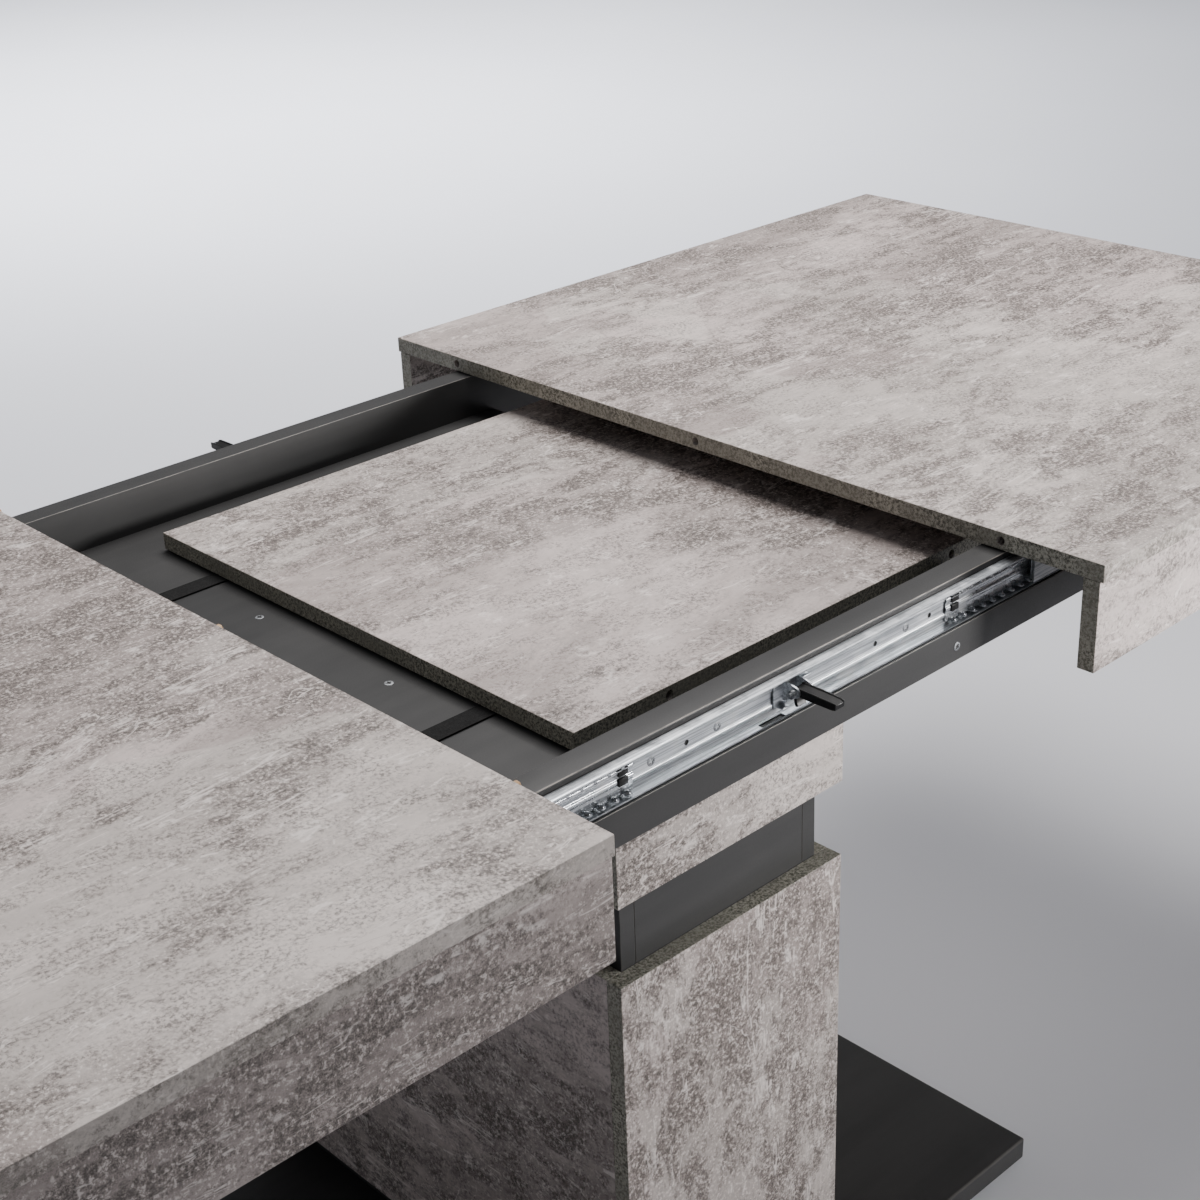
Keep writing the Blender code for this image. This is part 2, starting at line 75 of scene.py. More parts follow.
# ================================================================== mesh building
def piece(name, data, materials, body, replaces=()):
    """Makes a shaded object from mesh data in world metres that rides on a body."""
    bmesh.ops.recalc_face_normals(data, faces=data.faces)
    mesh = bpy.data.meshes.new(name)
    data.to_mesh(mesh)
    data.free()
    mesh.shade_smooth()
    mesh.set_sharp_from_angle(angle=SMOOTH_BELOW)
    for material in materials:
        mesh.materials.append(material)
    obj = bpy.data.objects.new(name, mesh)
    bpy.context.scene.collection.objects.link(obj)
    if body is not None:
        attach(obj, body)
    if replaces:
        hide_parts(*replaces)
    return obj


def add(data, more, index=0):
    """Puts more mesh data into data with one material index, and frees it."""
    for face in more.faces:
        face.material_index = index
    scratch = bpy.data.meshes.new("scratch")
    more.to_mesh(scratch)
    more.free()
    data.from_mesh(scratch)
    bpy.data.meshes.remove(scratch)


def arc(before, corner, after, radius, steps):
    """Points of a corner rounded off between its two arms."""
    corner = Vector(corner)
    arm_in = Vector(before) - corner
    arm_out = Vector(after) - corner
    reach = min(radius, arm_in.length * 0.45, arm_out.length * 0.45)
    start = corner + arm_in.normalized() * reach
    end = corner + arm_out.normalized() * reach
    line = []
    for step in range(steps + 1):
        t = step / steps
        line.append(start * (1 - t) ** 2 + corner * 2 * t * (1 - t) + end * t**2)
    return line


def rounded(points, radius, steps=4):
    """Open line through the points with its inner corners turned into arcs."""
    line = [Vector(points[0])]
    for before, corner, after in zip(points, points[1:], points[2:]):
        line += arc(before, corner, after, radius, steps)
    line.append(Vector(points[-1]))
    return line


def sheet_outline(line, thickness):
    """Closed outline of sheet metal whose middle follows an open line."""
    sides = ([], [])
    for i, point in enumerate(line):
        along = line[min(i + 1, len(line) - 1)] - line[max(i - 1, 0)]
        across = Vector((-along.y, along.x)).normalized() * thickness / 2
        sides[0].append(point + across)
        sides[1].append(point - across)
    return sides[0] + sides[1][::-1]


def at_slide(side, depth, rise):
    """(y, z) of a point that lies depth out from a slide's back plane and rise above its middle."""
    return side * (SLIDE_BACK_Y + depth), SLIDE_MID_Z + rise


def join_rings(data, first, second):
    """Faces between two rings of equally many points."""
    for i in range(len(first)):
        j = (i + 1) % len(first)
        data.faces.new((first[i], first[j], second[j], second[i]))


def skin(data, rings):
    """Joins a row of rings and closes both ends."""
    for first, second in zip(rings, rings[1:]):
        join_rings(data, first, second)
    data.faces.new(rings[0])
    data.faces.new(rings[-1][::-1])


def plate(outline, axis, start, end):
    """Straight bar or plate: a closed outline in the two other axes, from start to end on this one."""
    data = bmesh.new()
    rings = []
    for along in (start, end):
        ring = []
        for pair in outline:
            point = list(pair)
            point.insert(axis, along)
            ring.append(data.verts.new(point))
        rings.append(ring)
    data.faces.new(rings[0])
    data.faces.new(rings[1][::-1])
    join_rings(data, *rings)
    return data


def block(low, high, edge=0.0):
    """Box between two corners with softened edges."""
    data = bmesh.new()
    bmesh.ops.create_cube(data, size=1.0)
    for vert in data.verts:
        for axis in range(3):
            vert.co[axis] = low[axis] + (vert.co[axis] + 0.5) * (high[axis] - low[axis])
    if edge:
        bmesh.ops.bevel(
            data, geom=data.edges[:], offset=edge, segments=2, affect="EDGES", profile=0.5
        )
    return data


def slide_block(side, x_pair, depth_pair, rise_pair, edge=0.0):
    """Box given by its place along X, its depth and its rise in a slide."""
    y_a, z_a = at_slide(side, depth_pair[0], rise_pair[0])
    y_b, z_b = at_slide(side, depth_pair[1], rise_pair[1])
    low = (min(x_pair), min(y_a, y_b), min(z_a, z_b))
    high = (max(x_pair), max(y_a, y_b), max(z_a, z_b))
    return block(low, high, edge)


def lathe(profile, at, axis, steps=24, flutes=0, flute_depth=0.0):
    """Turned body: (radius, along) points about an axis through at, closed at both ends.

    Flutes are grooves round the sides, as on a dowel.
    """
    turn = Vector((0, 0, 1)).rotation_difference(Vector(axis)).to_matrix()
    data = bmesh.new()
    rings = []
    for radius, along in profile:
        ring = []
        for step in range(steps):
            angle = 2 * math.pi * step / steps
            groove = flute_depth * (0.5 + 0.5 * math.cos(flutes * angle)) if flutes else 0.0
            reach = max(radius - groove, 0.0)
            local = Vector((reach * math.cos(angle), reach * math.sin(angle), along))
            ring.append(data.verts.new(Vector(at) + turn @ local))
        rings.append(ring)
    skin(data, rings)
    return data


def cut(obj, cutters):
    """Takes cutter shapes away from obj and keeps the result as its mesh."""
    tool_mesh = bpy.data.meshes.new("cutters")
    joined = bmesh.new()
    for cutter in cutters:
        add(joined, cutter)
    bmesh.ops.recalc_face_normals(joined, faces=joined.faces)
    joined.to_mesh(tool_mesh)
    joined.free()
    tool = bpy.data.objects.new("cutters", tool_mesh)
    bpy.context.scene.collection.objects.link(tool)
    boolean = obj.modifiers.new("cut", "BOOLEAN")
    boolean.operation = "DIFFERENCE"
    boolean.solver = "EXACT"
    boolean.object = tool
    graph = bpy.context.evaluated_depsgraph_get()
    result = bpy.data.meshes.new_from_object(obj.evaluated_get(graph))
    obj.modifiers.remove(boolean)
    obj.data = result
    bpy.data.objects.remove(tool, do_unlink=True)
    obj.data.shade_smooth()
    obj.data.set_sharp_from_angle(angle=SMOOTH_BELOW)


def stamped(template, places):
    """Mesh data that repeats a template mesh at each place, a 4x4 matrix."""
    data = bmesh.new()
    for place in places:
        first = len(data.verts)
        data.from_mesh(template)
        data.verts.ensure_lookup_table()
        bmesh.ops.transform(data, matrix=place, verts=data.verts[first:])
    return data


def facing(at, axis, spin=0.0):
    """Matrix that puts a shape built along +Z at a point, facing along an axis."""
    turn = Vector((0, 0, 1)).rotation_difference(Vector(axis)).to_matrix().to_4x4()
    return Matrix.Translation(Vector(at)) @ turn @ Matrix.Rotation(spin, 4, "Z")


# ================================================================== materials
def node(tree, kind, inputs=None, **settings):
    """Adds a node, sets its properties, and sets or links its inputs."""
    made = tree.nodes.new("ShaderNode" + kind)
    for name, value in settings.items():
        setattr(made, name, value)
    for name, value in (inputs or {}).items():
        if isinstance(value, bpy.types.NodeSocket):
            tree.links.new(value, made.inputs[name])
        else:
            made.inputs[name].default_value = value
    return made


def noise(tree, vector, scale, detail=2.0, roughness=0.5, distortion=0.0):
    """Height of a noise texture, about 0.5 on average."""
    made = node(
        tree,
        "TexNoise",
        {
            "Vector": vector,
            "Scale": scale,
            "Detail": detail,
            "Roughness": roughness,
            "Distortion": distortion,
        },
    )
    return made.outputs["Fac"]


def ramp(tree, value, low, high, to_low=0.0, to_high=1.0):
    """Value carried smoothly from low..high to to_low..to_high."""
    made = node(
        tree,
        "MapRange",
        {
            "Value": value,
            "From Min": low,
            "From Max": high,
            "To Min": to_low,
            "To Max": to_high,
        },
        interpolation_type="SMOOTHSTEP",
    )
    return made.outputs["Result"]


def maths(tree, operation, a, b=0.0):
    """Result of one calculation on one or two values."""
    made = node(tree, "Math", {0: a, 1: b}, operation=operation)
    return made.outputs[0]


def times(tree, a, b):
    """Product of two values."""
    return maths(tree, "MULTIPLY", a, b)


def mix(tree, share, a, b):
    """Colour between a and b."""
    made = node(tree, "Mix", {0: share, 6: a, 7: b}, data_type="RGBA")
    return made.outputs[2]


def grey(value, warmth=0.0):
    """Linear colour of a grey, warmer above 0 and bluer below."""
    return (value * (1 + warmth), value, value * (1 - warmth), 1.0)


def start_material(name, metallic):
    """New material with its node tree and its main shader."""
    material = bpy.data.materials.new(name)
    material.use_nodes = True
    tree = material.node_tree
    shader = tree.nodes["Principled BSDF"]
    shader.inputs["Metallic"].default_value = metallic
    return material, tree, shader


def finish_shader(tree, shader, colour, roughness, height, strength, distance):
    """Links colour, roughness and a bump to the shader."""
    bump = node(
        tree,
        "Bump",
        {"Height": height, "Strength": strength, "Distance": distance},
    )
    tree.links.new(colour, shader.inputs["Base Color"])
    tree.links.new(roughness, shader.inputs["Roughness"])
    tree.links.new(bump.outputs["Normal"], shader.inputs["Normal"])


def place_vector(tree, seed, stretch=(1.0, 1.0, 1.0)):
    """Coordinates node, and the position in metres moved by a seed and scaled on each axis."""
    coordinates = node(tree, "TexCoord")
    offset = (seed * 1.37 % 7, seed * 2.71 % 5, seed * 0.93 % 3)
    moved = node(
        tree,
        "Mapping",
        {"Vector": coordinates.outputs["Object"], "Location": offset, "Scale": stretch},
    )
    return coordinates, moved.outputs["Vector"]


def corner_mask(tree, coordinates):
    """1 on softened edges and 0 on flat faces, with the normal split into its three parts."""
    absolute = node(
        tree, "VectorMath", {0: coordinates.outputs["Normal"]}, operation="ABSOLUTE"
    )
    split = node(tree, "SeparateXYZ", {0: absolute.outputs[0]})
    widest = maths(tree, "MAXIMUM", split.outputs[0], split.outputs[1])
    widest = maths(tree, "MAXIMUM", widest, split.outputs[2])
    return ramp(tree, widest, 0.97, 0.80), split


def thin_lines(tree, height, width):
    """1 along the lines where a noise passes through its middle value."""
    away = maths(tree, "ABSOLUTE", maths(tree, "SUBTRACT", height, 0.5))
    return ramp(tree, away, width, 0.0)


def crackle(tree, vector, scale):
    """0 inside the cells of a fine cracked net and 1 on its lines."""
    cells = node(
        tree,
        "TexVoronoi",
        {"Vector": vector, "Scale": scale, "Randomness": 1.0},
        feature="DISTANCE_TO_EDGE",
    )
    return ramp(tree, cells.outputs["Distance"], 0.16, 0.02)


LIGHT_DECOR = (0.60, 0.520, 0.492, 1)
MID_DECOR = (0.31, 0.262, 0.243, 1)
DARK_DECOR = (0.062, 0.050, 0.043, 1)
SPECKLE_DECOR = (0.29, 0.248, 0.224, 1)
PALE_DECOR = (0.80, 0.735, 0.700, 1)
TIDE_DECOR = (0.68, 0.635, 0.585, 1)
BAND_DARK = (0.085, 0.082, 0.064, 1)
BAND_LIGHT = (0.52, 0.495, 0.415, 1)
BAND_MID = (0.26, 0.248, 0.205, 1)
WORN_DECOR = (0.34, 0.305, 0.275, 1)


def decor_group():
    """Printed concrete: clouds, dark speckled patches, pale tide marks, scratches and specks.

    Edge is 1 on the speckled edge band of a board, and Corner is 1 on its worn corners.
    """
    group = bpy.data.node_groups.new("concrete_decor", "ShaderNodeTree")
    sockets = group.interface
    for name in ("Streaks", "Lines", "Grain"):
        sockets.new_socket(name, in_out="INPUT", socket_type="NodeSocketVector")
    for name in ("Edge", "Corner"):
        sockets.new_socket(name, in_out="INPUT", socket_type="NodeSocketFloat")
    sockets.new_socket("Colour", in_out="OUTPUT", socket_type="NodeSocketColor")
    for name in ("Roughness", "Height"):
        sockets.new_socket(name, in_out="OUTPUT", socket_type="NodeSocketFloat")
    given = group.nodes.new("NodeGroupInput").outputs
    streaks = given["Streaks"]
    grain = given["Grain"]

    # Masks, each from 0 to 1.
    clouds = ramp(group, noise(group, streaks, 4.0, 9, 0.70, 0.5), 0.42, 0.58)
    areas = noise(group, streaks, 2.6, 3, 0.5, 0.4)
    spots = noise(group, streaks, 10.0, 12, 0.76, 0.4)
    areas = times(group, areas, 0.6)
    spots = times(group, spots, 0.8)
    patches = ramp(group, maths(group, "ADD", areas, spots), 0.620, 0.710)
    small = ramp(group, noise(group, streaks, 34.0, 8, 0.78, 0.3), 0.40, 0.58)
    fine = noise(group, grain, 330, 5, 0.8)
    net = crackle(group, grain, 470)
    tide_level = noise(group, streaks, 1.3, 5, 0.55, 0.9)
    tide = ramp(group, tide_level, 0.520, 0.530)
    scratch = thin_lines(group, noise(group, given["Lines"], 9.0, 5, 0.55, 0.5), 0.009)
    crack = thin_lines(group, noise(group, streaks, 6.0, 6, 0.60, 0.5), 0.005)
    hair = thin_lines(group, noise(group, given["Lines"], 30.0, 4, 0.60, 0.8), 0.012)
    breaks = ramp(group, noise(group, grain, 36, 6, 0.78), 0.48, 0.58)
    dark_line = thin_lines(group, noise(group, given["Lines"], 7.0, 6, 0.62, 0.7), 0.003)

    # Printed colour: clouds and tide marks, then the speckled patches, then scratches.
    colour = mix(group, times(group, clouds, 0.75), LIGHT_DECOR, MID_DECOR)
    colour = mix(group, times(group, tide, 0.40), colour, TIDE_DECOR)
    tide_rim = thin_lines(group, maths(group, "SUBTRACT", tide_level, 0.022), 0.003)
    tide_rim = times(group, tide_rim, breaks)
    colour = mix(group, times(group, tide_rim, 0.25), colour, DARK_DECOR)
    grains = mix(group, ramp(group, fine, 0.42, 0.58), DARK_DECOR, SPECKLE_DECOR)
    grains = mix(group, times(group, net, 0.65), grains, MID_DECOR)
    share = times(group, patches, ramp(group, small, 0.0, 1.0, 0.42, 0.95))
    colour = mix(group, share, colour, grains)
    loose = times(group, ramp(group, fine, 0.40, 0.54, 0.72, 0.0), small)
    colour = mix(group, loose, colour, DARK_DECOR)
    colour = mix(group, times(group, dark_line, 0.35), colour, DARK_DECOR)
    flecks = ramp(group, noise(group, grain, 330, 4, 0.72), 0.56, 0.62)
    fleck_share = times(group, flecks, ramp(group, patches, 0.0, 1.0, 0.12, 0.60))
    colour = mix(group, fleck_share, colour, PALE_DECOR)
    scratches = maths(group, "MAXIMUM", maths(group, "MAXIMUM", crack, hair), scratch)
    scratches = times(group, scratches, breaks)
    colour = mix(group, times(group, scratches, 0.75), colour, PALE_DECOR)

    # Edge band of chips, and rubbed corners.
    chips = noise(group, grain, 430, 4, 0.75)
    band = mix(group, ramp(group, chips, 0.38, 0.62), BAND_DARK, BAND_LIGHT)
    band_tone = ramp(group, noise(group, grain, 16, 3, 0.6), 0.40, 0.60, 0.0, 0.5)
    band = mix(group, band_tone, band, BAND_MID)
    colour = mix(group, given["Edge"], colour, band)
    rubbing = ramp(group, noise(group, grain, 60, 4, 0.7), 0.46, 0.60, 0.0, 0.35)
    worn = times(group, given["Corner"], rubbing)
    colour = mix(group, worn, colour, WORN_DECOR)

    roughness = ramp(group, fine, 0.30, 0.70, 0.46, 0.64)
    pits = times(group, patches, maths(group, "SUBTRACT", fine, 0.5))
    height = maths(group, "ADD", times(group, flecks, 0.25), pits)
    result = group.nodes.new("NodeGroupOutput").inputs
    group.links.new(colour, result["Colour"])
    group.links.new(roughness, result["Roughness"])
    group.links.new(height, result["Height"])
    return group


DECOR = decor_group()


def concrete(name, seed, thin_axis, streak_axis, wrapped_sides):
    """Concrete decor on a board, with an edge band round its thin sides.

    With wrapped_sides the decor runs down the edges that face Y, with only a trace of the band.
    """
    material, tree, shader = start_material(name, 0.0)
    stretch = [1.0, 1.0, 1.0]
    stretch[streak_axis] = 0.50
    coordinates, streaks = place_vector(tree, seed, stretch)
    stretch[streak_axis] = 0.16
    _, lines = place_vector(tree, seed + 5, stretch)
    corner, split = corner_mask(tree, coordinates)
    edge = ramp(tree, split.outputs[thin_axis], 0.75, 0.55)
    if wrapped_sides:
        trace = ramp(tree, split.outputs[1], 0.5, 0.8, 1.0, 0.22)
        edge = times(tree, edge, trace)
    group = node(tree, "Group", node_tree=DECOR)
    tree.links.new(streaks, group.inputs["Streaks"])
    tree.links.new(lines, group.inputs["Lines"])
    tree.links.new(coordinates.outputs["Object"], group.inputs["Grain"])
    tree.links.new(edge, group.inputs["Edge"])
    tree.links.new(corner, group.inputs["Corner"])
    outputs = group.outputs
    finish_shader(
        tree, shader, outputs["Colour"], outputs["Roughness"], outputs["Height"], 0.35, 0.0004
    )
    return material


def anthracite(name, seed, edge_wear_and_highlight_tone=0.22):
    """Satin anthracite board: faint long streaks, fine pores, and paler edges that are partly wear and
    partly a painted highlight of light catching them.
    """
    material, tree, shader = start_material(name, 0.0)
    coordinates, streaks = place_vector(tree, seed, (0.12, 1.0, 1.0))
    corner, _ = corner_mask(tree, coordinates)
    position = coordinates.outputs["Object"]
    bands = noise(tree, streaks, 26, 5, 0.6)
    pores = noise(tree, position, 900, 2, 0.6)
    smudges = noise(tree, position, 7, 5, 0.65, 0.4)
    colour = mix(tree, ramp(tree, bands, 0.3, 0.7), grey(0.034, 0.0), grey(0.044, 0.01))
    colour = mix(tree, ramp(tree, smudges, 0.45, 0.75, 0.0, 0.3), colour, grey(0.058, 0.02))
    # Paler edges: partly wear, partly a painted highlight where light catches the edges.
    wear_and_highlight = ramp(tree, noise(tree, position, 40, 4, 0.7), 0.35, 0.6, 0.45, 1.0)
    rubbed = times(tree, corner, wear_and_highlight)
    colour = mix(tree, rubbed, colour, grey(edge_wear_and_highlight_tone, 0.10))
    roughness = ramp(tree, maths(tree, "ADD", smudges, pores), 0.7, 1.3, 0.36, 0.52)
    shader.inputs["Specular IOR Level"].default_value = 0.35
    finish_shader(tree, shader, colour, roughness, pores, 0.12, 0.0002)
    return material


DRAWN = (0.015, 1.0, 1.0)
EVEN = (1.0, 1.0, 1.0)


def zinc(name, seed, tone, rough, stretch=DRAWN):
    """Zinc-plated rolled steel: bluish, drawn along its length, with duller stains."""
    material, tree, shader = start_material(name, 0.86)
    coordinates, drawn = place_vector(tree, seed, stretch)
    position = coordinates.outputs["Object"]
    lines = noise(tree, drawn, 560, 4, 0.7)
    stains = noise(tree, position, 60, 5, 0.7, 0.5)
    colour = mix(tree, ramp(tree, lines, 0.40, 0.58), grey(tone * 0.52, -0.06), grey(tone, -0.035))
    colour = mix(tree, ramp(tree, stains, 0.52, 0.72, 0.0, 0.45), colour, grey(tone * 0.70, 0.02))
    roughness = ramp(tree, stains, 0.35, 0.70, rough, rough + 0.20)
    finish_shader(tree, shader, colour, roughness, lines, 0.18, 0.0001)
    return material


def black_plastic(name, seed):
    """Moulded black plastic with a fine grain and greyer rubbed edges."""
    material, tree, shader = start_material(name, 0.0)
    coordinates, moved = place_vector(tree, seed)
    corner, _ = corner_mask(tree, coordinates)
    grain = noise(tree, moved, 1500, 3, 0.6)
    dust = noise(tree, moved, 120, 5, 0.7)
    colour = mix(tree, ramp(tree, dust, 0.45, 0.75), grey(0.005), grey(0.016, 0.02))
    colour = mix(tree, times(tree, corner, 0.30), colour, grey(0.040))
    shader.inputs["Specular IOR Level"].default_value = 0.3
    roughness = ramp(tree, dust, 0.35, 0.70, 0.32, 0.48)
    finish_shader(tree, shader, colour, roughness, grain, 0.15, 0.00015)
    return material


def felt(name, seed):
    """Needled black felt."""
    material, tree, shader = start_material(name, 0.0)
    shader.inputs["Specular IOR Level"].default_value = 0.15
    _, moved = place_vector(tree, seed)
    fibres = noise(tree, moved, 1100, 4, 0.75, 1.5)
    tufts = noise(tree, moved, 160, 4, 0.6)
    colour = mix(tree, ramp(tree, fibres, 0.35, 0.65), grey(0.006), grey(0.024))
    roughness = ramp(tree, tufts, 0.3, 0.7, 0.88, 1.0)
    finish_shader(tree, shader, colour, roughness, fibres, 0.6, 0.0004)
    return material


BEECH_PALE = (0.56, 0.38, 0.22, 1)
BEECH_DARK = (0.40, 0.25, 0.13, 1)
BEECH_PORE = (0.20, 0.11, 0.05, 1)


def beech(name, seed, grain_axis):
    """Plain beech with short pores along the grain."""
    material, tree, shader = start_material(name, 0.0)
    stretch = [1.0, 1.0, 1.0]
    stretch[grain_axis] = 0.08
    _, moved = place_vector(tree, seed, stretch)
    rings = noise(tree, moved, 260, 4, 0.6, 0.4)
    pores = ramp(tree, noise(tree, moved, 1500, 2, 0.5), 0.58, 0.70)
    colour = mix(tree, ramp(tree, rings, 0.35, 0.65), BEECH_PALE, BEECH_DARK)
    colour = mix(tree, times(tree, pores, 0.5), colour, BEECH_PORE)
    roughness = ramp(tree, rings, 0.3, 0.7, 0.50, 0.66)
    finish_shader(tree, shader, colour, roughness, pores, 0.2, 0.0002)
    return material


ZINC = zinc("zinc_sheet", 3, tone=0.74, rough=0.30)
CAGE_ZINC = zinc("zinc_cage", 5, tone=0.74, rough=0.20)
# Darker ball steel: painted shade and dark reflection of the balls deep in the cage.
BALL_STEEL_PAINTED_SHADE = zinc("painted_shade_balls", 7, tone=0.34, rough=0.12, stretch=EVEN)
SCREW_ZINC = zinc("zinc_screw", 9, tone=0.36, rough=0.42, stretch=EVEN)
# Dark steel for the cross recesses of the screws: painted shade in the recess.
RECESS_PAINTED_SHADE = zinc("shaded_recess", 10, tone=0.10, rough=0.55, stretch=EVEN)
ANGLE_ZINC = zinc("zinc_angle", 4, tone=0.36, rough=0.40)
PLASTIC = black_plastic("black_plastic", 11)


# ================================================================== CAD nodes that stay
def board_axes(name):
    """(thinnest, longest) axis of a board."""
    low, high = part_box(name)
    sizes = [high[axis] - low[axis] for axis in range(3)]
    return sizes.index(min(sizes)), sizes.index(max(sizes))


def dress(name, material):
    """Gives a CAD node this material."""
    for entry in NODES[name].material_slots:
        entry.material = material


CONCRETE_WORDS = ("top_board", "apron", "cladding", "leaf_board")
ANTHRACITE_WORDS = ("core_board", "head_", "crossbar", "base_plate")
for seed, node_name in enumerate(sorted(NODES)):
    thin_axis, long_axis = board_axes(node_name)
    if thin_axis == 2:
        # The decor of a level board runs along the table, whichever way the board is longer.
        long_axis = 0
    if any(word in node_name for word in CONCRETE_WORDS):
        dress(
            node_name,
            concrete(
                f"concrete_{node_name}", seed, thin_axis, long_axis, "top_board" in node_name
            ),
        )
    elif any(word in node_name for word in ANTHRACITE_WORDS):
        dress(node_name, anthracite(f"anthracite_{node_name}", seed))
    elif "felt" in node_name:
        dress(node_name, felt(f"black_{node_name}", seed))


# ================================================================== screws
SCREW_RADIUS = 0.0039
SCREW_PROUD = 0.0004


def screw_template():
    """Countersunk head with a cross recess, facing +Z, its rim level with z = 0; the recess faces take
    a dark second material, painted shade.
    """
    low = -0.0012
    head = lathe(
        [
            (0.0012, low),
            (SCREW_RADIUS * 0.80, low),
            (SCREW_RADIUS, -0.0002),
            (SCREW_RADIUS * 0.97, SCREW_PROUD * 0.6),
            (SCREW_RADIUS * 0.80, SCREW_PROUD),
            (0.0004, SCREW_PROUD),
        ],
        (0, 0, 0),
        (0, 0, 1),
    )
    holder = piece("screw_template", head, [SCREW_ZINC], None)
    arm = SCREW_RADIUS * 0.56
    width = SCREW_RADIUS * 0.22
    floor = low * 0.6
    cross = [(width, width), (width, arm), (-width, arm), (-width, width)]
    cross += [(-arm, width), (-arm, -width), (-width, -width), (-width, -arm)]
    cross += [(width, -arm), (width, -width), (arm, -width), (arm, width)]
    cut(holder, [plate(cross, 2, floor, 0.002)])
    mesh = holder.data
    # Faces in the cross recess take the dark second material: painted shade in the recess.
    for face in mesh.polygons:
        in_recess = math.hypot(face.center.x, face.center.y) < arm * 1.05
        if in_recess and face.center.z < SCREW_PROUD * 0.5:
            face.material_index = 1
    bpy.data.objects.remove(holder, do_unlink=True)
    return mesh


SCREW = screw_template()


def screws(name, places, body):
    """Screw heads in one piece; places holds (point, facing axis, spin)."""
    matrices = [facing(point, axis, spin) for point, axis, spin in places]
    return piece(name, stamped(SCREW, matrices), [SCREW_ZINC, RECESS_PAINTED_SHADE], body)


# ================================================================== rails
RAIL_ROUND = 0.0016
RAIL_EDGE = 0.0006
STEP_EDGE = 0.0008
RAIL_SCREW_X = (-0.595, -0.210, 0.195, 0.595)
RAIL_SCREW_RISE = 0.013


def build_rail(side_name, side):
    """Stepped rail with its outer top edge rounded over, its edges paler from wear and a painted
    highlight.
    """
    low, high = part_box(f"rail_{side_name}")
    inner = min(abs(low.y), abs(high.y))
    step_out = max(abs(low.y), abs(high.y))
    top_out = SLIDE_BACK_Y - TOUCH_GAP
    step_top = SLIDE_LOW.z - TOUCH_GAP
    corners = [
        (inner, low.z),
        (step_out, low.z),
        (step_out, step_top),
        (top_out, step_top),
        (top_out, high.z),
        (inner, high.z),
    ]
    radii = [RAIL_EDGE, RAIL_EDGE, STEP_EDGE, 0.0, RAIL_ROUND, RAIL_EDGE]
    outline = []
    for i, (corner, radius) in enumerate(zip(corners, radii)):
        after = corners[(i + 1) % len(corners)]
        outline += arc(corners[i - 1], corner, after, radius, 5) if radius else [Vector(corner)]
    outline = [(side * y, z) for y, z in outline]
    piece(
        f"stepped_rail_{side_name}",
        plate(outline, 0, low.x, high.x),
        # Brighter edge tone on the rail: partly wear, partly a painted highlight along its edges.
        [anthracite(f"anthracite_rail_{side_name}", 40 + side, edge_wear_and_highlight_tone=0.34)],
        "pedestal",
        [f"rail_{side_name}"],
    )
    face_y = side * step_out
    places = [
        ((x, face_y, low.z + RAIL_SCREW_RISE), (0, side, 0), 0.4 + 1.1 * i)
        for i, x in enumerate(RAIL_SCREW_X)
    ]
    screws(f"rail_screws_{side_name}", places, "pedestal")


# ================================================================== fixed slide channels
CHANNEL_STEEL = 0.0008
WEB_RISES = (0.0051, 0.0059, 0.0087, 0.0095)
WEB_RIB = 0.0009
WEB_HOLES_X = (-0.109, 0.103, 0.171, -0.171, -0.330, 0.330, -0.620, 0.620)
WEB_SCREWS_X = (-0.145, -0.077, 0.141, -0.420, 0.420, -0.700, 0.700)
WEB_HOLE_RADIUS = 0.0023
WEB_HOLE_LENGTH = 0.004
CHANNEL_BEND = 0.00035
LATCH_CUT_X = (-0.036, -0.010)
LATCH_CUT_DEPTHS = (0.0030, 0.0088)
LATCH_CUT_RISES = (-SLIDE_HALF - 0.001, -SLIDE_HALF + 0.002)


def channel_line():
    """Middle line of the fixed channel: flanges, and a web with two pressed ribs."""
    flat = CHANNEL_STEEL / 2
    edge = SLIDE_HALF - CHANNEL_STEEL / 2
    a, b, c, d = WEB_RISES
    upper = [(flat, d), (flat + WEB_RIB, c), (flat + WEB_RIB, b), (flat, a)]
    lower = [(depth, -rise) for depth, rise in reversed(upper)]
    tip = SLIDE_DEPTH - 0.0002
    return (
        [(tip, edge - 0.0006), (tip - 0.0010, edge), (flat, edge)]
        + upper
        + lower
        + [(flat, -edge), (tip - 0.0008, -edge), (tip, -edge + 0.0014)]
    )


def build_channel(side_name, side):
    """Fixed channel with holes in its web, a cut for the latch, and its screws."""
    line = rounded(channel_line(), CHANNEL_BEND, 2)
    outline = [at_slide(side, depth, rise) for depth, rise in sheet_outline(line, CHANNEL_STEEL)]
    low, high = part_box(f"slide_outer_{side_name}")
    obj = piece(
        f"fixed_channel_{side_name}",
        plate(outline, 0, low.x, high.x),
        [ZINC],
        "pedestal",
        [f"slide_outer_{side_name}"],
    )
    hole = [(WEB_HOLE_RADIUS, 0.0), (WEB_HOLE_RADIUS, WEB_HOLE_LENGTH)]
    y, z = at_slide(side, -0.001, 0.0)
    cutters = [lathe(hole, (x, y, z), (0, side, 0), 16) for x in WEB_HOLES_X]
    cutters.append(slide_block(side, LATCH_CUT_X, LATCH_CUT_DEPTHS, LATCH_CUT_RISES))
    cut(obj, cutters)
    y, z = at_slide(side, CHANNEL_STEEL, 0.0)
    places = [
        ((x, y, z), (0, side, 0), 0.3 + 0.9 * i)
        for i, x in enumerate(WEB_SCREWS_X)
    ]
    screws(f"channel_screws_{side_name}", places, "pedestal")


